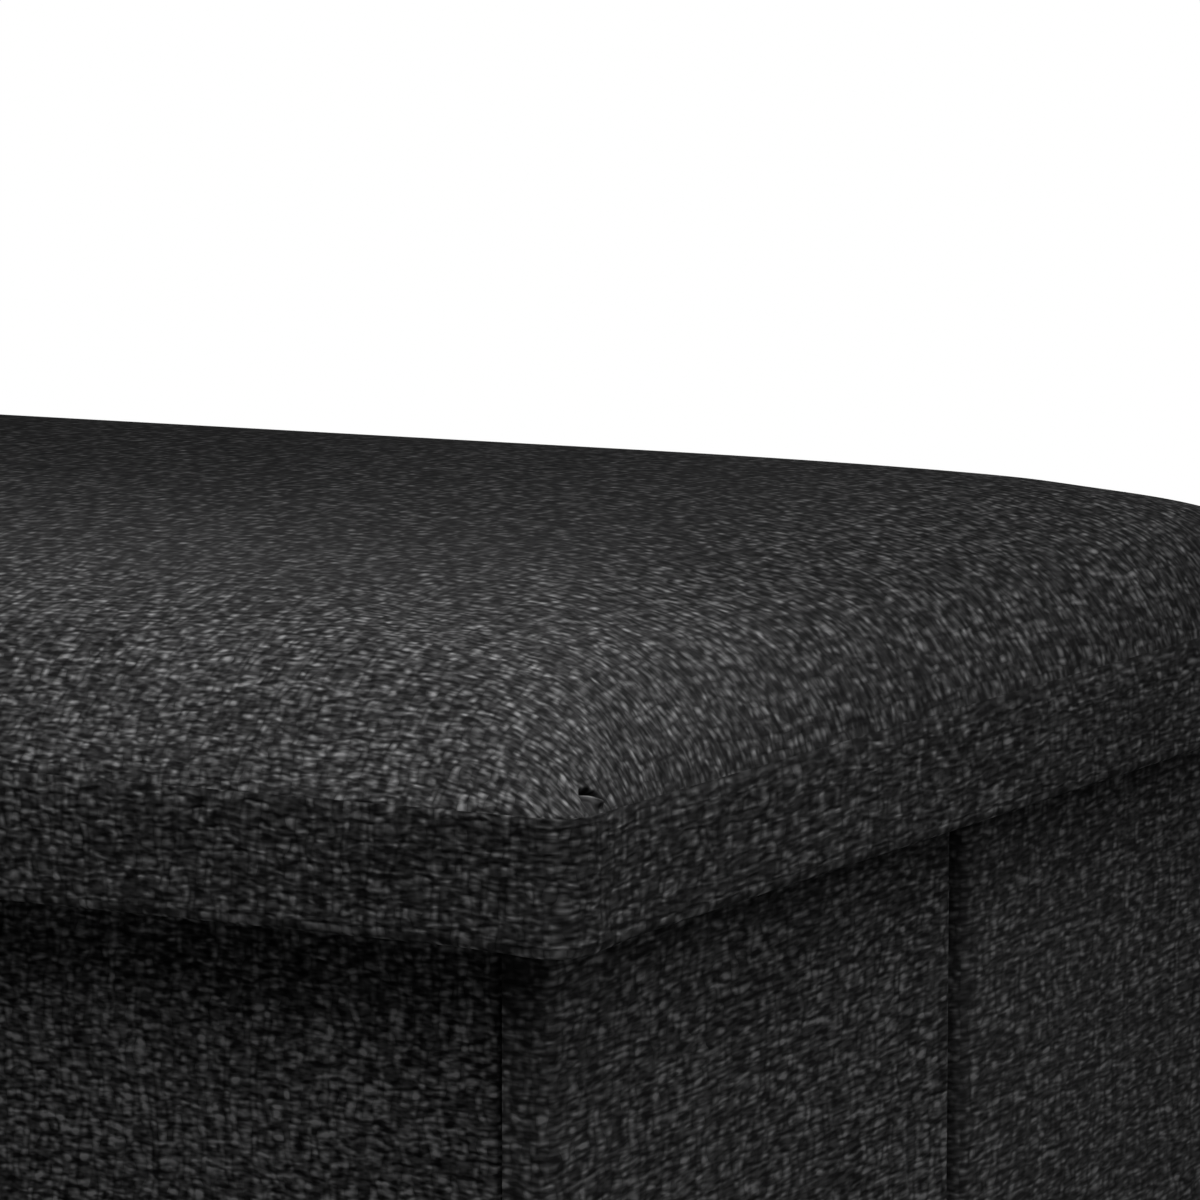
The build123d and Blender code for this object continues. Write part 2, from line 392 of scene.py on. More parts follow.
def smooth(piece, degrees):
    take(piece)
    bpy.ops.object.shade_smooth_by_angle(angle=math.radians(degrees))


def face_towards(piece, direction):
    if sum(f.normal.dot(direction) for f in piece.data.polygons) < 0:
        edit(piece)
        bpy.ops.mesh.select_all(action="SELECT")
        bpy.ops.mesh.flip_normals()
        done()


print("shaping ready")

# %% [markdown]
# Some shapes have a formula, and then it is quicker to read and write all the points of a piece at
# once. The same goes for what the finishes read: the place of each point in the flat cloth, and its
# wear. The last helper dresses a finished piece and hides the CAD nodes that it stands for.

# %% Points, cloth and wear
def points(piece):
    flat = np.empty(len(piece.data.vertices) * 3)
    piece.data.vertices.foreach_get("co", flat)
    return flat.reshape(-1, 3)


def place_points(piece, where):
    piece.data.vertices.foreach_set("co", where.ravel())
    piece.data.update()


def ripples(where, scale):
    return np.array([noise.noise(Vector(p) * scale) for p in where])


def corners(piece):
    """For each corner of each face, the number of its point and of its face."""
    loops = np.empty(len(piece.data.loops), int)
    piece.data.loops.foreach_get("vertex_index", loops)
    counts = np.empty(len(piece.data.polygons), int)
    piece.data.polygons.foreach_get("loop_total", counts)
    return loops, np.repeat(np.arange(len(counts)), counts)


def set_cloth(piece, uv):
    """Stores the cloth's flat place, in metres, for each corner of each face."""
    layer = piece.data.uv_layers.get("cloth") or piece.data.uv_layers.new(name="cloth")
    layer.data.foreach_set("uv", np.asarray(uv, np.float32).ravel())
    piece.data.uv_layers.active = layer


def set_wear_and_painted_light(piece, painted_groove_shade=0.0, painted_light_and_shade=0.0, worn=0.0):
    """Stores, for each point, its painted shade in grooves, its painted light and shade, and how smooth it is
    worn.
    """
    layer = piece.data.attributes.new("wear_and_painted_light", "FLOAT_VECTOR", "POINT")
    wear_and_painted_light = np.zeros((len(piece.data.vertices), 3), np.float32)
    wear_and_painted_light[:, 0], wear_and_painted_light[:, 1], wear_and_painted_light[:, 2] = painted_groove_shade, painted_light_and_shade, worn
    layer.data.foreach_set("vector", wear_and_painted_light.ravel())


def dress(piece, finish, slot, *nodes, degrees=40):
    piece.data.materials.append(finish)
    smooth(piece, degrees)
    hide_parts(*nodes)


print("points, cloth and wear ready")

# %% [markdown]
# The lid is a foam pad on a rim of boards, under one cloth that is pulled down over the edges and
# stapled inside. A box with round edges would look like moulded foam. Here a flat grid becomes the
# cloth. Its rows are moved closer together near the edge, where the cloth bends most, and its plan
# corners are made round.

# %% Lid cloth: a flat grid
lid_low, lid_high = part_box("lid_cover")
HALF_X, HALF_Y = lid_high.x, lid_high.y
RIM_Z = lid_low.z + 0.026
PLAN_CORNER = 0.010
GRID_X, GRID_Y = 152, 76

bpy.ops.object.select_all(action="DESELECT")
bpy.ops.mesh.primitive_grid_add(x_subdivisions=GRID_X, y_subdivisions=GRID_Y, size=2)
lid = new_piece("lid_cloth")
flat_place = points(lid)


def crowd(t):
    """Moves rows towards the edges."""
    return np.sign(t) * (1 - (1 - np.abs(t)) ** 1.5)


def round_corner(x, y):
    """Turns the square plan corners into quarter circles."""
    a = np.clip((np.abs(x) - HALF_X + PLAN_CORNER) / PLAN_CORNER, 0, 1)
    b = np.clip((np.abs(y) - HALF_Y + PLAN_CORNER) / PLAN_CORNER, 0, 1)
    moved_a, moved_b = a * np.sqrt(1 - b * b / 2), b * np.sqrt(1 - a * a / 2)
    return x - np.sign(x) * (a - moved_a) * PLAN_CORNER, y - np.sign(y) * (b - moved_b) * PLAN_CORNER


x, y = round_corner(crowd(flat_place[:, 0]) * HALF_X, crowd(flat_place[:, 1]) * HALF_Y)
print("grid", GRID_X, "by", GRID_Y, "reaches", round(x.max(), 4), round(y.max(), 4))

# %% [markdown]
# The pad rises fast at the shoulder, where the foam is squeezed over the rim, and slowly after it. Its
# contour lines grow rounder inwards, as on a real cushion. At the front the cloth is slacker, so the
# shoulder reaches further in.

# %% Lid cloth: the crown
SHOULDER, SHOULDER_REACH, FRONT_SLACK = 0.0194, 0.0117, 0.7
CROWN, CROWN_POWER = 0.0187, 2.8


def inset(x, y, widen=0.85):
    """How far a point is inside the plan outline, measured across outlines that grow rounder inwards."""
    dx, dy = HALF_X - np.abs(x), HALF_Y - np.abs(y)
    near, far = np.zeros_like(dx), np.maximum(np.minimum(dx, dy), 0)
    for _ in range(40):
        d = (near + far) / 2
        r = np.minimum(PLAN_CORNER + widen * d, HALF_Y - d + 1e-6)
        outside = np.hypot(np.maximum(0, r - dx + d), np.maximum(0, r - dy + d)) > r
        far, near = np.where(outside, d, far), np.where(outside, near, d)
    return near


def crown(d, y):
    swell = 1 - np.maximum(0, 1 - d / HALF_Y) ** CROWN_POWER
    reach = SHOULDER_REACH * (1 + FRONT_SLACK * np.clip(-y / HALF_Y, 0, 1) ** 4)
    return SHOULDER * np.tanh(d / reach) + CROWN * swell


lid_place = np.stack([x, y, RIM_Z + crown(inset(x, y), y)], 1)
place_points(lid, lid_place)
print("top of the pad", round(lid_place[:, 2].max(), 4))

# %% [markdown]
# The yarns run straight in the flat cloth and bend where it is pulled over the pad. So the cloth's
# flat place is measured along the rows and columns of the grid, before the sides are pulled down.
# From front to back it is eased: near the edges the yarns keep their size, and in the middle of
# the seat, where the pad stretches the cloth, they lie further apart.

# %% Lid cloth: the flat place of the top
EASE_OVER, EDGE_GAIN = 0.06, 1.15

columns, rows = np.unique(flat_place[:, 0].round(5)), np.unique(flat_place[:, 1].round(5))
column_of = np.searchsorted(columns, flat_place[:, 0].round(5))
row_of = np.searchsorted(rows, flat_place[:, 1].round(5))
net = np.empty((len(columns), len(rows), 3))
net[column_of, row_of] = lid_place


def run(steps):
    """Length from the middle of a row to each of its points."""
    total = np.concatenate([np.zeros((1, steps.shape[1])), np.cumsum(steps, 0)])
    return total - total[len(total) // 2]


def ease(from_edge):
    return TOP_STRETCH * from_edge + (EDGE_GAIN - TOP_STRETCH) * EASE_OVER * np.tanh(from_edge / EASE_OVER)


along_x = run(np.linalg.norm(np.diff(net, axis=0), axis=2))
along_y = run(np.linalg.norm(np.diff(net, axis=1), axis=2).T).T
top_uv = np.stack([along_x[column_of, row_of], along_y[column_of, row_of]], 1)
half = np.abs(top_uv[:, 1]).max()
top_uv[:, 1] = np.sign(top_uv[:, 1]) * (ease(half) - ease(half - np.abs(top_uv[:, 1])))
print("cloth over the top", top_uv.max(0) * 2)

# %% [markdown]
# Extruding the open edge pulls the cloth down the rim, round the hem, and up inside, where the
# staples hold it. One long extrusion would do for a board, but short steps keep the band smooth.

# %% Lid cloth: the sides
BAND_STEPS = (0.0012, 0.0018, 0.003, 0.0045, 0.005, 0.005, 0.004)
FLAP = 0.013


def draw_in(z_step, by):
    """Extrudes the open edge down or up, and moves it to this far inside the plan outline."""
    push(z=z_step)
    core_x, core_y = HALF_X - by - PLAN_CORNER, HALF_Y - by - PLAN_CORNER
    mesh = bmesh.from_edit_mesh(lid.data)
    for p in mesh.verts:
        if p.select:
            core = Vector((max(-core_x, min(core_x, p.co.x)), max(-core_y, min(core_y, p.co.y)), p.co.z))
            p.co = core + (p.co - core).normalized() * PLAN_CORNER
    bmesh.update_edit_mesh(lid.data)


edit(lid)
bpy.ops.mesh.select_mode(type="EDGE")
bpy.ops.mesh.select_all(action="DESELECT")
bpy.ops.mesh.select_non_manifold()
for step in BAND_STEPS:
    push(z=-step)
left = RIM_Z - lid_low.z - sum(BAND_STEPS)
draw_in(-left * 0.7, 0.0004)
draw_in(-left * 0.3, 0.0015)
draw_in(0.0, 0.0075)
draw_in(left * 0.4, 0.0087)
for _ in range(3):
    push(z=(FLAP - left * 0.4) / 3)
draw_in(0.0, 0.0078)
done()
print("lid cloth points", len(lid.data.vertices))

# %% [markdown]
# The hem droops a little at the corners, where the cloth is thickest. The edge of the pad is crisp
# there, and softer between the corners: its points are cut in and lowered a little.

# %% Lid cloth: droop and soft edges
DROOP, DROOP_REACH = 0.0012, 0.016
SOFT, END_SOFT, CUT_IN, LOWERED = 0.008, 0.0085, 0.13, 0.27
CRISP, CRISP_REACH, END_CRISP_REACH = 0.010, 0.11, 0.03

where = points(lid)
edge_x, edge_y = HALF_X - np.abs(where[:, 0]), HALF_Y - np.abs(where[:, 1])
at_end, from_side, from_corner = edge_x < edge_y, np.minimum(edge_x, edge_y), np.hypot(edge_x, edge_y)
hang = np.clip((RIM_Z - where[:, 2]) / (RIM_Z - lid_low.z), 0, 1)
where[:, 2] -= DROOP * hang * np.exp(-(from_corner / DROOP_REACH) ** 2)

soft = np.where(at_end, END_SOFT, SOFT)
outer = from_side < np.where(where[:, 2] < RIM_Z, 0.001, soft)
from_rim = np.hypot(from_side, where[:, 2] - RIM_Z)
past_crisp = np.clip((from_corner - CRISP) / np.where(at_end, END_CRISP_REACH, CRISP_REACH), 0, 1)
inwards = np.where(outer, CUT_IN * soft * np.clip(1 - from_rim / soft, 0, 1) ** 2, 0) * past_crisp
where[:, 0] -= np.where(at_end, np.sign(where[:, 0]) * inwards, 0)
where[:, 1] -= np.where(at_end, 0, np.sign(where[:, 1]) * inwards)
where[:, 2] -= LOWERED * inwards
place_points(lid, where)
print("lid cloth lowest", round(points(lid)[:, 2].min(), 4))

# %% [markdown]
# On the sides the yarns hang straight down, and run on round the front corners without a jump. So the
# flat place there is the length along the front, then round the corner and along the end, and the depth
# below the rim.

# %% Lid cloth: the flat place of the sides
BAND_START, REAR_SHIFT, INSIDE_SHIFT = 4.00055, 7, 0.040

where = points(lid)
loops, faces = corners(lid)
centre = np.array([f.center for f in lid.data.polygons])
on_end = (HALF_X - np.abs(centre[:, 0]) < HALF_Y - np.abs(centre[:, 1]))[faces]
outer = inset(where[:, 0], where[:, 1]) < 0.002
depth = np.where(outer, RIM_Z - where[:, 2], INSIDE_SHIFT + where[:, 2] - lid_low.z)
on_top = np.arange(len(where)) < len(lid_place)
face_on_top = np.ones(len(centre), bool)
np.logical_and.at(face_on_top, faces, on_top[loops])
half_way = PLAN_CORNER * (1 - math.sqrt(0.5))


def round_the_end(from_front):
    return from_front * END_STRETCH + 0.010 * (1 - np.exp(-from_front / 0.012))


past_corner = round_the_end(HALF_Y + where[loops, 1]) - round_the_end(half_way)
along = np.where(on_end, np.sign(where[loops, 0]) * (HALF_X - half_way + past_corner),
                 where[loops, 0] + np.where(where[loops, 1] > 0, REAR_SHIFT, 0))
side_uv = np.stack([along, BAND_START - depth[loops]], 1)
all_top = np.zeros((len(where), 2))
all_top[:len(top_uv)] = top_uv
set_cloth(lid, np.where(face_on_top[faces][:, None], all_top[loops], side_uv))
print("faces on top", int(face_on_top.sum()), "on the sides", int((~face_on_top).sum()))

# %% [markdown]
# A real pad presses against its cloth, and the cloth finds its own shape. Blender's cloth solver does
# the same: the rim and the band are pinned, the air pressure stands for the foam, and gravity is off.
# Points may move only a little, so the crown keeps its measured height.

# %% Lid cloth: the foam presses up
SWELL_CAP, PIN_REACH, FRAMES = 0.0004, 0.010, 20
held = lid.vertex_groups.new(name="held")
edge_share = np.clip(1 - inset(where[:, 0], where[:, 1]) / PIN_REACH, 0, 1)
pinned = np.where(on_top, edge_share, 1.0)
for level in range(0, 11):
    held.add([int(i) for i in np.flatnonzero((pinned * 10).round() == level)], level / 10, "REPLACE")
cloth = lid.modifiers.new("cloth", "CLOTH")
cloth.settings.quality = 6
cloth.settings.vertex_group_mass = "held"
cloth.settings.use_pressure = True
cloth.settings.uniform_pressure_force = 4
cloth.settings.tension_stiffness = 40
cloth.settings.compression_stiffness = 40
cloth.settings.bending_stiffness = 4
cloth.settings.effector_weights.gravity = 0
cloth.point_cache.frame_end = FRAMES
for number in range(1, FRAMES + 1):
    bpy.context.scene.frame_set(number)
evaluated = lid.evaluated_get(bpy.context.evaluated_depsgraph_get())
swollen = np.array([p.co for p in evaluated.data.vertices])
lid.modifiers.remove(cloth)
lid.vertex_groups.remove(held)
bpy.context.scene.frame_set(1)
move = swollen - where
length = np.linalg.norm(move, axis=1, keepdims=True)
print("cloth moved at most", round(float(length.max()), 5))
place_points(lid, where + move * np.minimum(1, SWELL_CAP / np.maximum(length, 1e-9)))
print("crown after the cloth", round(points(lid)[:, 2].max(), 4))

# %% [markdown]
# One subdivision rounds the cloth. At each corner the spare cloth is tucked in: a small fold like an
# eyebrow, with a nub under it. It is smaller than the grid, so the faces there are cut finer first.

# %% Lid cloth: corner tucks
TUCK_REACH, TUCK_CUTS = 0.013, 5
BROW_RISE, BROW_HALF, BROW_BEND = 0.0008, 0.0032, 0.0022
FOLD_THIN, FOLD_DEEP, NUB_HIGH, PULL_DEEP = 0.0005, 0.0024, 0.0016, 0.0005

rounder = lid.modifiers.new("rounder", "SUBSURF")
rounder.levels = rounder.render_levels = 1
rounder.uv_smooth = "NONE"
apply_modifiers(lid)

TUCKS = [Vector((sx * (HALF_X - 0.0015), sy * (HALF_Y - 0.0120), RIM_Z + 0.0028))
         for sx in (-1, 1) for sy in (-1, 1)]
edit(lid)
pick("FACE", lambda c, n: c.z > RIM_Z - 0.012 and any((c - t).length < TUCK_REACH for t in TUCKS))
bpy.ops.mesh.subdivide(number_cuts=TUCK_CUTS, smoothness=0)
done()

where = points(lid)
for tuck in TUCKS:
    a, h = (where[:, 1] - tuck.y) * math.copysign(1, tuck.y), where[:, 2] - tuck.z
    close = np.linalg.norm(where - np.array(tuck), axis=1) < TUCK_REACH
    brow = h - (BROW_RISE - (a / BROW_HALF) ** 2 * BROW_BEND)
    fold = np.exp(-(brow / FOLD_THIN) ** 2) * np.clip(1.3 - (a / BROW_HALF) ** 2, 0, 1) * FOLD_DEEP
    nub = np.exp(-(a / 0.0014) ** 2 - ((h + 0.0011) / 0.0007) ** 2) * NUB_HIGH
    pull = np.exp(-(a / 0.008) ** 2 - (h / 0.004) ** 2) * PULL_DEEP
    outwards = np.array([math.copysign(1, tuck.x), 0, 0.3])
    where += np.where(close, nub - fold - pull, 0)[:, None] * outwards
place_points(lid, where)
print("lid cloth faces", len(lid.data.polygons), "top", round(where[:, 2].max(), 4))

# %% [markdown]
# No cover wears evenly. The middle of the seat is rubbed smooth, so its weave shows less, and the ends
# are smoother than the front. The sides are painted a little lighter, as light falls on them, and a
# painted highlight runs along the hem, as a pale line over the dark gap. All of this follows from each
# point's place.

# %% Lid cloth: wear and painted light
SEAT_WORN, SEAT_START, SEAT_REACH = 0.54, 0.015, 0.06
SIDE_WORN, TOP_WORN, END_WORN, END_TOP_WORN = -0.06, 0.12, 0.26, -0.08
RIM_WORN, RIM_REACH = 0.3, 0.002
# Painted light on the lid's sides, and a painted highlight along the hem.
LID_SIDE_PAINTED_LIGHT, HEM_PAINTED_HIGHLIGHT, HEM_HIGHLIGHT_REACH = 0.10, 0.28, 0.007

edge_x, edge_y = HALF_X - np.abs(where[:, 0]), HALF_Y - np.abs(where[:, 1])
above = np.clip((where[:, 2] - RIM_Z) / 0.006, 0, 1)
near_end = np.clip(0.5 + (edge_y - edge_x) / 0.03, 0, 1)
seat = np.clip((inset(where[:, 0], where[:, 1]) - SEAT_START) / SEAT_REACH, 0, 1)
hem_highlight = np.exp(-((where[:, 2] - lid_low.z) / HEM_HIGHLIGHT_REACH) ** 2)
end_rim = np.exp(-(np.hypot(edge_x, where[:, 2] - RIM_Z) / RIM_REACH) ** 2)
# Painted light below the rim, most at the hem, and half as much at the ends.
painted_light_and_shade = (LID_SIDE_PAINTED_LIGHT + HEM_PAINTED_HIGHLIGHT * hem_highlight) * (1 - above) * (1 - 0.5 * near_end)
worn = SIDE_WORN + TOP_WORN * above + END_WORN * near_end + END_TOP_WORN * near_end * above
set_wear_and_painted_light(lid, painted_light_and_shade=painted_light_and_shade, worn=np.maximum(worn, SEAT_WORN * seat) + RIM_WORN * end_rim)

dress(lid, LINEN, "linen", "lid_cover", "lid_foam", degrees=80)
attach(lid, "lid")
print("hem tone", round(float(painted_light_and_shade.max()), 3), "seat worn", SEAT_WORN)

# %% [markdown]
# Each wall panel is a board wrapped in the same cloth: over the outside, round the edges, over the top
# and 30 mm down inside. The front and the back are one panel each, and each end is two halves that
# meet in a crease. A small class keeps what every later step asks of a panel: its box, its body, the
# way it faces, how round its two upright edges are, and how far a painted shade reaches beside them.

# %% Wall covers: the panels
HEM_INSIDE = 0.030
SEAM_EDGE, CORNER_EDGE, CREASE_EDGE, TOP_EDGE = 0.0015, 0.003, 0.004, 0.0025
# How far the painted shade beside a seam and beside a crease reaches.
SEAM_SHADE_REACH, CREASE_SHADE_REACH = 0.003, 0.012
START, END = -1, 1


class Wall:
    def __init__(self, name, body, out, edges, groove_shade_reach):
        self.name, self.body, self.edges, self.groove_shade_reach = name, body, edges, groove_shade_reach
        self.side = name.split("_")[0]
        self.low, self.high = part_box(name + "_cover")
        self.size = self.high - self.low
        self.facing = Vector((*out, 0))
        self.run = 0 if out[1] else 1
        self.face_at = max(self.facing.dot(self.low), self.facing.dot(self.high))

    def end(self, which):
        return (self.low if which == START else self.high)[self.run]

    def behind_face(self, where):
        return self.face_at - where @ np.array(self.facing)


WALLS = [Wall(name, body, out, {START: SEAM_EDGE, END: SEAM_EDGE}, {START: SEAM_SHADE_REACH, END: SEAM_SHADE_REACH})
         for name, body, out in (("front", "front", (0, -1)), ("back", "base", (0, 1)))]
for side, sx in (("right", 1), ("left", -1)):
    front_half, rear_half = side + "_front", side + "_rear"
    WALLS.append(Wall(front_half, front_half, (sx, 0),
                      {START: CORNER_EDGE, END: CREASE_EDGE}, {END: SEAM_SHADE_REACH}))
    WALLS.append(Wall(rear_half, rear_half, (sx, 0),
                      {START: CREASE_EDGE, END: CORNER_EDGE}, {START: CREASE_SHADE_REACH}))
print("panels", [wall.name for wall in WALLS])

# %% [markdown]
# A cover could be a sheet folded round the board. A block is quicker: it is cut into a net of faces,
# its edges are rounded by bevels, and the window where the lining lies is taken out, which leaves
# the cloth. The last cut lies just under the lid, where the painted shadow under the hem is full.

# %% Wall covers: the block
NET, LEVELS, UNDER_LID = 0.02, 13, 0.006
COVER_DEEP = 0.0099


def wall_block(wall):
    low, high, size, run = wall.low, wall.high, wall.size, wall.run
    cover = new_block(wall.name + "_cloth", (low + high) / 2, size)
    along = Vector((1, 0, 0)) if run == 0 else Vector((0, 1, 0))

    def on_face(*ends):
        return all(wall.facing.dot(p) > wall.face_at - 1e-5 for p in ends)

    def on_inside(*ends):
        return all(wall.facing.dot(p) < wall.face_at - COVER_DEEP for p in ends)

    edit(cover)
    spans = max(2, round(size[run] / NET))
    for i in range(1, spans):
        cut(low + along * size[run] * i / spans, along)
    for i in range(1, LEVELS + 1):
        cut(low + Vector((0, 0, (size.z - HEM_INSIDE) * i / LEVELS)), (0, 0, 1))
    cut((0, 0, lid_low.z - UNDER_LID), (0, 0, 1))
    for which, radius in wall.edges.items():
        end = wall.end(which)
        pick("EDGE", lambda a, b: max(abs(a[run] - end), abs(b[run] - end)) < 1e-5 and on_face(a, b))
        round_off(radius, 5)
    pick("EDGE", lambda a, b: min(a.z, b.z) > high.z - 1e-5 and abs(a.z - b.z) < 1e-6
         and (on_face(a, b) or on_inside(a, b)))
    round_off(TOP_EDGE, 4)
    pick("FACE", lambda c, n: n.dot(wall.facing) < -0.9 and c.z < high.z - HEM_INSIDE)
    bpy.ops.mesh.delete(type="FACE")
    done()
    return cover


covers = {wall.name: wall_block(wall) for wall in WALLS}
print("wall covers", {name: len(cover.data.polygons) for name, cover in covers.items()})

# %% [markdown]
# The flat place of a cover is its face, plus what turns round its edges and over its top. A round edge
# is shorter than a square one, so the turned part starts a little earlier. Each side of the bench has
# its own place on the cloth. Then the face is let in by a fraction of a millimetre, unevenly, as glued
# cloth is, and gets its thickness.

# %% Wall covers: the flat place and the ripples
PLACE_ON_CLOTH = {"front": 0.0, "right": 1.0, "left": 2.0, "back": 3.0}
BEND_SHORT = 0.134
LET_IN, RIPPLE, FIRM_EDGE, LINEN_THICK = 0.0003, 0.00035, 0.03, 0.0009


def lay_cloth(wall, cover):
    run, low, high = wall.run, wall.low, wall.high
    where = points(cover)
    along, tall, deep = where[:, run], where[:, 2], wall.behind_face(where)
    loops, faces = corners(cover)
    normal = np.array([f.normal for f in cover.data.polygons])[faces]
    s, t, e = along[loops], tall[loops], deep[loops]
    lies_up = normal[:, 2] > 0.5
    lies_in = normal @ np.array(wall.facing) < -0.5
    turned = np.abs(normal[:, run]) > 0.5
    bend = BEND_SHORT * np.where(normal[:, run] < 0, wall.edges[START], wall.edges[END])
    uv_s = s * (1 if run == 0 else END_STRETCH) + np.where(turned, np.sign(normal[:, run]) * (e - bend), 0)
    uv_t = np.where(lies_up, t + e, np.where(lies_in, 2 * high.z + 0.010 - t, t))
    set_cloth(cover, np.stack([uv_s + PLACE_ON_CLOTH[wall.side], uv_t], 1))

    from_edges = np.minimum.reduce([along - low[run], high[run] - along, tall - low.z, high.z - tall])
    let_in = np.clip(from_edges / FIRM_EDGE, 0, 1) * (LET_IN + ripples(where, 14) * RIPPLE)
    where -= np.where(deep < 1e-5, let_in, 0)[:, None] * np.array(wall.facing)
    place_points(cover, where)
    thicken(cover, LINEN_THICK)


for wall in WALLS:
    lay_cloth(wall, covers[wall.name])
print("cloth laid on", len(covers), "panels")

# %% [markdown]
# The walls are painted lighter than the lid, and the worn end halves lighter still, except for a
# painted shadow along the top, under the lid's hem, that is deeper where the cloth of the end halves
# turns round their edges. Beside a crease and at the seams a painted shade darkens the cloth. The end
# walls are worn smoother than the front.

# %% Wall covers: wear, painted light and painted shade
# The first paints the walls lighter and the third paints the worn end halves lighter still; the second sets
# how dark the painted shade in grooves is.
WALL_PAINTED_LIGHT, GROOVE_SHADE_DEPTH, PAINTED_LIGHT_PER_WORN = 0.42, 0.75, 0.5
# Painted shadow under the lid's hem: where it begins below the hem, how far it fades in, its depth on each
# side, and its depth where the cloth turns round an end half's edges.
HEM_SHADOW_FROM, HEM_SHADOW_REACH = 0.022, 0.016
HEM_SHADOW_BY_SIDE = {"front": 1.0, "back": 1.2, "right": 0.3, "left": 1.2}
CORNER_EDGE_SHADOW, CORNER_SHADOW_REACH = 1.6, 0.002
LONG_WORN, FRONT_HALF_WORN, REAR_HALF_WORN = -0.12, 0.15, 0.30


def paint_light_and_wear_on_wall(wall, cover):
    where = points(cover)
    along, deep = where[:, wall.run], wall.behind_face(where)
    # Painted shade, darkest at a seam or crease and fading with distance from it.
    painted_groove_shade = np.full(len(along), -9.0)
    for which, reach in wall.groove_shade_reach.items():
        painted_groove_shade = np.maximum(painted_groove_shade, 1 - np.abs(along - wall.end(which)) / reach)
    # Painted shadow under the hem, deeper where the cloth turns round the edges of an end half.
    on_face = HEM_SHADOW_BY_SIDE[wall.side]
    shadow_on_edge = on_face if wall.run == 0 else CORNER_EDGE_SHADOW
    painted_hem_shadow = on_face + (shadow_on_edge - on_face) * np.clip(deep / CORNER_SHADOW_REACH, 0, 1)
    painted_hem_shadow = painted_hem_shadow * np.clip((where[:, 2] - lid_low.z + HEM_SHADOW_FROM) / HEM_SHADOW_REACH, 0, 1)
    half_worn = FRONT_HALF_WORN if wall.name.endswith("front") else REAR_HALF_WORN
    worn = LONG_WORN if wall.run == 0 else half_worn
    # Painted light, held back where the painted shadow lies under the hem.
    painted_light_and_shade = (WALL_PAINTED_LIGHT + PAINTED_LIGHT_PER_WORN * max(worn, 0)) * (1 - painted_hem_shadow)
    set_wear_and_painted_light(cover, painted_groove_shade * GROOVE_SHADE_DEPTH, painted_light_and_shade, worn)


for wall in WALLS:
    cover, size = covers[wall.name], wall.size
    paint_light_and_wear_on_wall(wall, cover)
    dress(cover, LINEN, "linen", wall.name + "_cover")
    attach(cover, wall.body)
    size[wall.run] + 0.020
print("wall covers worn and dressed", sorted(covers))

# %% [markdown]
# Inside, such a bench has a lining of bonded black cloth, pressed in points so that the fibres hold
# together, and woven tapes where the panels fold. Under the cloth is fibreboard, and the lid's rim shows
# some of it from below. The glides are moulded plastic and the fasteners are steel. Flat colours would
# do at a distance, but a pattern holds up close. On cloth the pattern follows the UV map.

# %% Patterns of the inside and the underside
def pressed_points(n, x, y, z):
    diagonal = ((x + y) * (math.tau / 0.0016)).maths("SINE") * ((x - y) * (math.tau / 0.0016)).maths("SINE")
    return 0.75 - n.clamp(diagonal * 2.5 - 1.2) * 0.6 + (n.cloud(x * 900, y * 400, 2.0) - 0.5) * 0.5


def twill_ridges(n, x, y, z):
    ridge = ((x + y * 1.6) * (math.tau / 0.0012)).maths("SINE")
    return 0.5 + ridge * 0.35 + (n.cloud(x * 700, y * 700, 1.0) - 0.5) * 0.5


def pressed_fibres(n, x, y, z):
    long_fibres = n.cloud(x * 260 + z * 190, y * 900 + z * 310, 3.0)
    return long_fibres * 0.6 + n.cloud(x * 1400, y * 500 + z * 1200, 1.0) * 0.4


def moulding_grain(n, x, y, z):
    return n.cloud(x * 1500 + z * 300, y * 1500 + z * 700, 2.0)


def drawn_wire(n, x, y, z):
    return n.cloud(x * 3000 + z * 900, y * 260 + z * 2600, 1.0)


print("patterns ready")

# %% [markdown]
# All five finishes are built alike: the pattern raises a relief, shifts the roughness, and is mixed
# with large soft mottles into the colour.

# %% Finishes of the inside and the underside
def finish_of(name, dark, light, roughness, relief, depth, on_cloth=False, metal=0.0):
    material, n = new_finish(name)
    if on_cloth:
        spot = n.add("ShaderNodeUVMap", {"uv_map": "cloth"})
    else:
        spot = n.add("ShaderNodeTexCoord", output="Object")
    x = n.add("ShaderNodeSeparateXYZ", inputs={0: spot})
    y, z = x.also("Y"), x.also("Z")
    raised = n.clamp(relief(n, x, y, z))
    mottled = raised * 0.6 + n.cloud(x * 40 + z * 23, y * 40 + z * 31, 2.0) * 0.4
    bump = n.add("ShaderNodeBump", {}, {"Strength": 0.6, "Distance": depth, "Height": raised})
    shader = n.add("ShaderNodeBsdfPrincipled", {}, {
        "Base Color": n.tint(n.clamp(mottled), dark, light),
        "Roughness": roughness[0] + raised * (roughness[1] - roughness[0]),
        "Metallic": metal, "Specular IOR Level": 0.25, "Normal": bump})
    n.add("ShaderNodeOutputMaterial", inputs={0: shader})
    return material


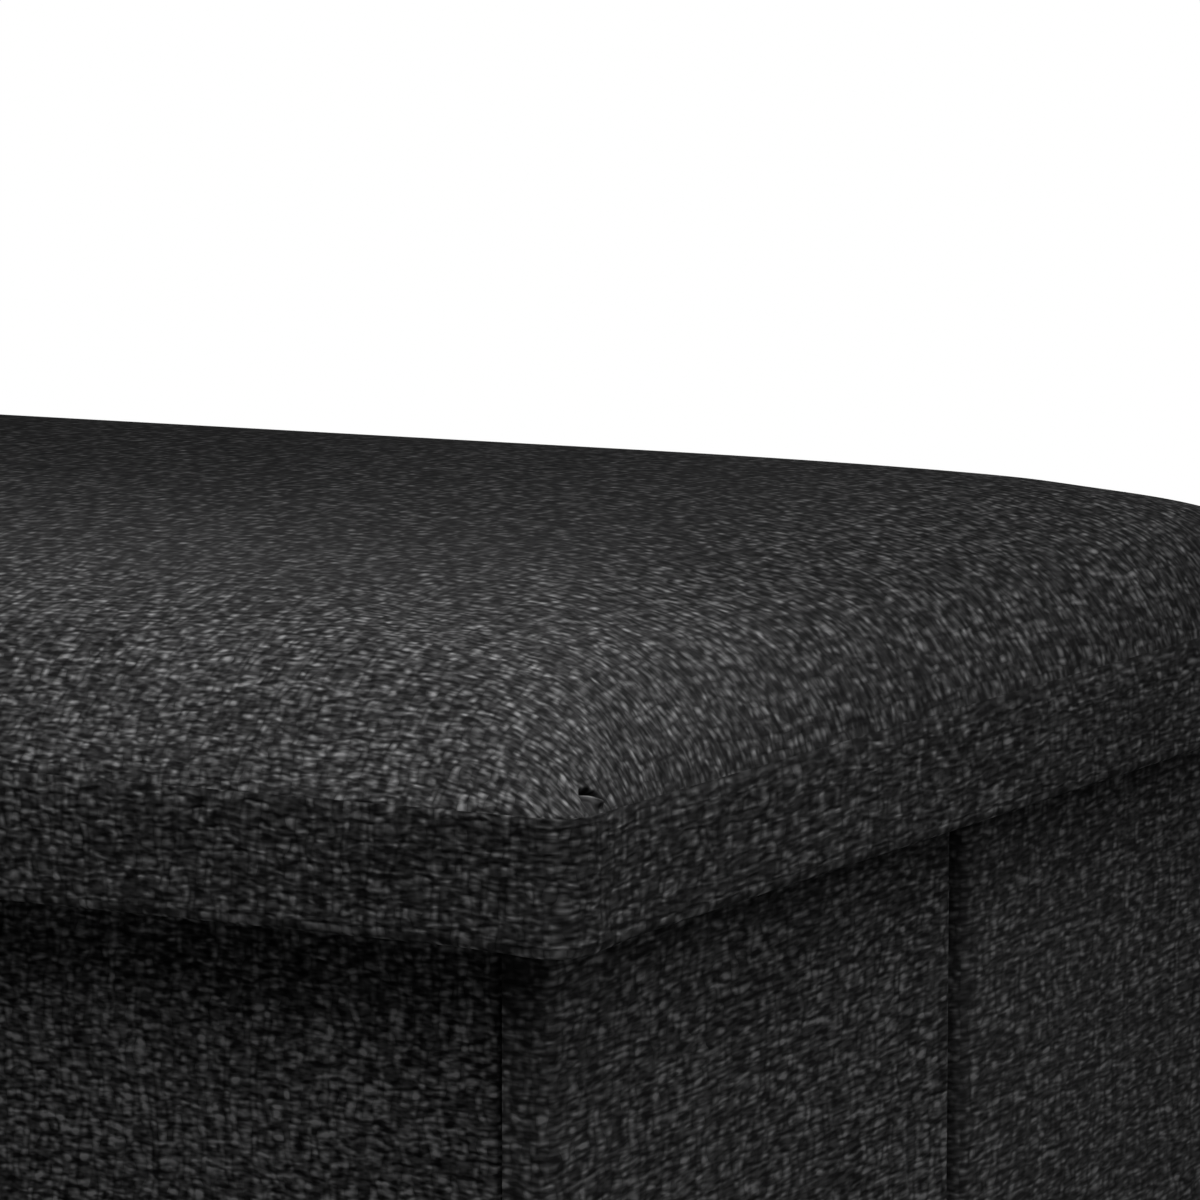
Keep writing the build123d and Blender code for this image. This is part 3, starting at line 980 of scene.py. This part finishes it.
LINING = finish_of("bonded_lining", (0.018, 0.018, 0.019), (0.070, 0.070, 0.073),
                   (0.55, 0.85), pressed_points, 0.0003, on_cloth=True)
TAPE = finish_of("twill_tape", (0.008, 0.008, 0.009), (0.045, 0.045, 0.046),
                 (0.7, 0.9), twill_ridges, 0.0003, on_cloth=True)
BOARD = finish_of("pressed_fibreboard", (0.16, 0.098, 0.055), (0.36, 0.245, 0.150),
                  (0.7, 0.9), pressed_fibres, 0.0002)
GLIDE = finish_of("moulded_glide", (0.014, 0.014, 0.015), (0.032, 0.032, 0.034),
                  (0.38, 0.55), moulding_grain, 0.00008)
STEEL = finish_of("drawn_steel", (0.38, 0.38, 0.39), (0.62, 0.62, 0.63),
                  (0.28, 0.42), drawn_wire, 0.00003, metal=1.0)
print("finishes", [finish.name for finish in (LINING, TAPE, BOARD, GLIDE, STEEL)])

# %% [markdown]
# A lining is a flat sheet, glued to the board, that is never quite flat. A grid gives it enough points
# to ripple a little, and Solidify gives it the cloth's thickness.

# %% Flat linings
LINING_NET, LINING_FIRM_EDGE = 0.012, 0.02


def flat_sheet(name, node, body, facing, thickness, ripple):
    """A lining over a thin CAD node. Facing is the side of the node that shows."""
    low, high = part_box(node)
    middle, size = (low + high) / 2, high - low
    facing = Vector(facing)
    k = max(range(3), key=lambda i: abs(facing[i]))
    a, b = [i for i in range(3) if i != k]
    middle[k] = high[k] if facing[k] > 0 else low[k]
    bpy.ops.object.select_all(action="DESELECT")
    bpy.ops.mesh.primitive_grid_add(x_subdivisions=round(size[a] / LINING_NET),
                                    y_subdivisions=round(size[b] / LINING_NET), size=1)
    sheet = new_piece(name)
    flat = points(sheet)
    where = np.zeros_like(flat)
    where[:, a] = middle[a] + flat[:, 0] * size[a]
    where[:, b] = middle[b] + flat[:, 1] * size[b]
    edge = np.clip((0.5 - np.abs(flat[:, :2])) * [size[a], size[b]] / LINING_FIRM_EDGE, 0, 1).min(1)
    wave = ripples(where, 17) + 0.5 * ripples(where, 45)
    where[:, k] = middle[k] - facing[k] * (0.00005 + ripple * edge * (0.75 + 0.5 * wave))
    place_points(sheet, where)
    loops, _ = corners(sheet)
    set_cloth(sheet, where[loops][:, [a, b]])
    face_towards(sheet, facing)
    thicken(sheet, thickness)
    dress(sheet, LINING, "lining", node)
    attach(sheet, body)


for wall in WALLS:
    flat_sheet(wall.name + "_inner_cloth", wall.name + "_lining", wall.body, -wall.facing,
               0.0008, 0.0003)
flat_sheet("lid_inner_cloth", "lid_lining", "lid", (0, 0, -1), 0.0005, 0.0001)
flat_sheet("base_inner_cloth", "base_lining", "base", (0, 0, 1), 0.0005, 0.0001)

# %% [markdown]
# The dust cover closes the underside. It is pulled up round the edges of the base board, so no raw
# edge shows from the side. A block without its top face is that shape, with its edges rounded.

# %% Dust cover
DUST_COLUMNS, DUST_ROWS, DUST_RIPPLE = 36, 18, 0.00012

low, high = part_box("base_board")
size = high - low
dust = new_block("dust_cover_cloth", (low + high) / 2 - Vector((0, 0, 0.0003)),
                 size + Vector((0.0008, 0.0008, 0.0006)))
edit(dust)
for i in range(1, DUST_COLUMNS):
    cut((low.x + size.x * i / DUST_COLUMNS, 0, 0), (1, 0, 0))
for i in range(1, DUST_ROWS):
    cut((0, low.y + size.y * i / DUST_ROWS, 0), (0, 1, 0))
pick("FACE", lambda c, n: n.z > 0.9)
bpy.ops.mesh.delete(type="FACE")
pick("EDGE", lambda a, b: min(abs(a.x), abs(b.x)) > high.x and min(abs(a.y), abs(b.y)) > high.y)
round_off(0.005, 5)
pick("FACE", lambda c, n: n.z < -0.9)
bpy.ops.mesh.region_to_loop()
round_off(0.0012, 3)
done()

where = points(dust)
where[:, 2] += np.where(where[:, 2] < low.z - 0.0005, (ripples(where, 20) + 1) * DUST_RIPPLE, 0)
place_points(dust, where)
loops, _ = corners(dust)
up = where[:, 2] - low.z
set_cloth(dust, (where[:, :2] + np.sign(where[:, :2]) * up[:, None])[loops])
thicken(dust, 0.0004)
dress(dust, LINING, "lining", "base_dust_cover")
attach(dust, "base")
print("dust cover faces", len(dust.data.polygons))

# %% [markdown]
# A tape is a strip with one leg on each panel. It is drawn flat: a strip lying down, whose edge is
# extruded up into the second leg, with the bend rounded. Then it is turned into its corner.

# %% Hinge tapes: the strip
TAPE_THICK, TAPE_BEND, TAPE_NET, LEG_CUTS = 0.0006, 0.0022, 0.02, 5


def tape_strip(name, node, legs, corner, along, first, second, length, thickness=TAPE_THICK):
    """A tape of one or two legs: its corner line runs along, and first and second point into the legs."""
    bpy.ops.object.select_all(action="DESELECT")
    bpy.ops.mesh.primitive_plane_add(size=1, location=(legs[0] / 2, length / 2, 0))
    bpy.context.object.scale = legs[0], length, 1
    tape = new_piece(name)
    edit(tape)
    if len(legs) == 2:
        pick("EDGE", lambda a, b: abs(a.x) < 1e-6 and abs(b.x) < 1e-6)
        push(z=legs[1])
        pick("EDGE", lambda a, b: max(abs(a.x), abs(b.x), abs(a.z), abs(b.z)) < 1e-6)
        round_off(TAPE_BEND, 5)
    for i in range(1, round(length / TAPE_NET)):
        cut((0, i * TAPE_NET, 0), (0, 1, 0))
    for i in range(1, LEG_CUTS):
        cut((legs[0] * i / LEG_CUTS, 0, 0), (1, 0, 0))
        if len(legs) == 2:
            cut((0, 0, legs[1] * i / LEG_CUTS), (0, 0, 1))
    bpy.ops.mesh.select_all(action="SELECT")
    bpy.ops.mesh.normals_make_consistent(inside=False)
    done()

    where = points(tape)
    loops, _ = corners(tape)
    set_cloth(tape, np.stack([where[:, 0] - where[:, 2], where[:, 1]], 1)[loops])
    ripple = np.array([noise.noise(Vector(p) * 60 + Vector((len(name), 0, 0))) + 1 for p in where])
    ripple *= 0.2 * thickness
    upright = where[:, 2] > where[:, 0]
    where += ripple[:, None] * np.stack([upright, 0 * ripple, ~upright], 1)
    turn = np.array([first, along, second], float)
    place_points(tape, where @ turn + np.array(corner))
    face_towards(tape, Vector(first) + Vector(second))
    thicken(tape, thickness, 1)
    dress(tape, TAPE, "tape", node)
    return tape


print("tape strip ready")

# %% [markdown]
# Where two panels fold, one tape spans the corner between them. At the left front corner the loop of
# walls is opened for the motion, so the tape there is two halves, one on each panel. They are thin, and
# thinner still towards the corner line, because they fold face to face.

# %% Hinge tapes: the corners
LEG, SPLIT_THICK, THIN_REACH, BLEND_HALF = 0.022, 0.00016, 0.010, 0.0015
UP = (0, 0, 1)


def thin_at_fold(tape, corner, first, second):
    where = points(tape)
    out, high = ((where - np.array(corner)) @ np.array(way) for way in (first, second))
    where -= (high * (1 - np.clip(out / THIN_REACH, 0, 1)))[:, None] * np.array(second)
    place_points(tape, where)


for side, sx in (("right", 1), ("left", -1)):
    for end, sy in (("rear", 1), ("front", -1)):
        half = f"{side}_{end}"
        node = half + "_hinge_tape"
        wall = "base" if end == "rear" else "front"
        low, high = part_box(node)
        corner = Vector((high.x if sx > 0 else low.x, high.y if sy > 0 else low.y, low.z))
        tall = high.z - low.z
        on_long, on_end = (-sx, 0, 0), (0, -sy, 0)
        if half == "left_front":
            for part, body, leg, other in (("front", wall, on_long, on_end), ("half", half, on_end, on_long)):
                name = f"left_front_tape_{part}"
                tape = tape_strip(name, node, (LEG,), corner, UP, leg, other, tall, SPLIT_THICK)
                thin_at_fold(tape, corner, leg, other)
                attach(tape, body)
                half + "_lining"
        else:
            tape = tape_strip(half + "_tape", node, (LEG, LEG), corner, UP, on_long, on_end, tall)
            across = Vector((sx, -sy, 0)) * BLEND_HALF
            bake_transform(tape)
            half + "_lining"

low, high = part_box("base_hinge_tape")
long = high.x - low.x
tape = tape_strip("base_tape", "base_hinge_tape", (LEG, LEG), (low.x, high.y, low.z),
                  (1, 0, 0), (0, -1, 0), UP, long)
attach(tape, "base")
print("tapes", [o.name for o in bpy.data.objects if "_tape" in o.name and o.name not in frame["nodes"]])

# %% [markdown]
# In the groove of each crease a strip of the cover cloth joins the two halves. Its middle lies 3 mm
# below the outer face, where the eye sees only a dark line, and its tabs are glued to the ends of the
# halves. A narrow block without its back and its ends gives the middle and the tabs. The strip gets
# the painted shade of a groove all over.

# %% Crease webs
TAB, SUNK, DISH = 0.0045, 0.003, 0.0004
WEB_LEVELS, WEB_THICK, CREASE_CLOTH_AT, BEND_HALF = 20, 0.0005, 5, 0.0010
for side, sx in (("right", 1), ("left", -1)):
    low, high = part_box(side + "_crease_web")
    deep = (high.x if sx > 0 else low.x) - sx * SUNK
    wide, tall = high.y - low.y, high.z - low.z
    middle = (deep - sx * TAB / 2, 0, (low.z + high.z) / 2)
    web = new_block(side + "_crease_cloth", middle, (TAB, wide, tall))
    edit(web)
    pick("FACE", lambda c, n: abs(n.z) > 0.9 or n.x * sx < -0.9)
    bpy.ops.mesh.delete(type="FACE")
    for i in range(1, WEB_LEVELS):
        cut((0, 0, low.z + tall * i / WEB_LEVELS), (0, 0, 1))
    for i in (-2, -1, 0, 1, 2):
        cut((0, wide * i / 6, 0), (0, 1, 0))
    pick("EDGE", lambda a, b: min(a.x * sx, b.x * sx) > deep * sx - 1e-6
         and min(abs(a.y), abs(b.y)) > wide / 2 - 1e-6)
    round_off(0.0006, 3)
    done()

    where = points(web)
    dish = np.clip(1 - (2 * where[:, 1] / wide) ** 2, 0, 1) * DISH
    where[:, 0] -= sx * np.where(np.abs(where[:, 0] - deep) < 0.0001, dish, 0)
    place_points(web, where)
    loops, _ = corners(web)
    across = where[:, 1] + np.sign(where[:, 1]) * np.abs(where[:, 0] - deep)
    set_cloth(web, np.stack([across + CREASE_CLOTH_AT, where[:, 2]], 1)[loops])
    thicken(web, WEB_THICK)
    # The whole web gets the full painted shade of a groove.
    set_wear_and_painted_light(web, painted_groove_shade=1.0)
    dress(web, LINEN, "linen", side + "_crease_web")
    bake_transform(web)

# %% [markdown]
# The boards, the rim, the glides and the fasteners are rigid, and their CAD shapes are right. They stay
# as they are and only get their finishes.

# %% Finishes of the CAD parts
FASTENERS = ("lid_staples", "lid_brads", "foot_nails")
kept = {name: node for name, node in frame["nodes"].items() if not node.hide_render}
for name, node in kept.items():
    finish = GLIDE if name.endswith("_foot") else STEEL if name in FASTENERS else BOARD
    if not node.material_slots:
        node.data.materials.append(finish)
    for slot in node.material_slots:
        slot.material = finish
print("CAD parts kept", sorted(kept))
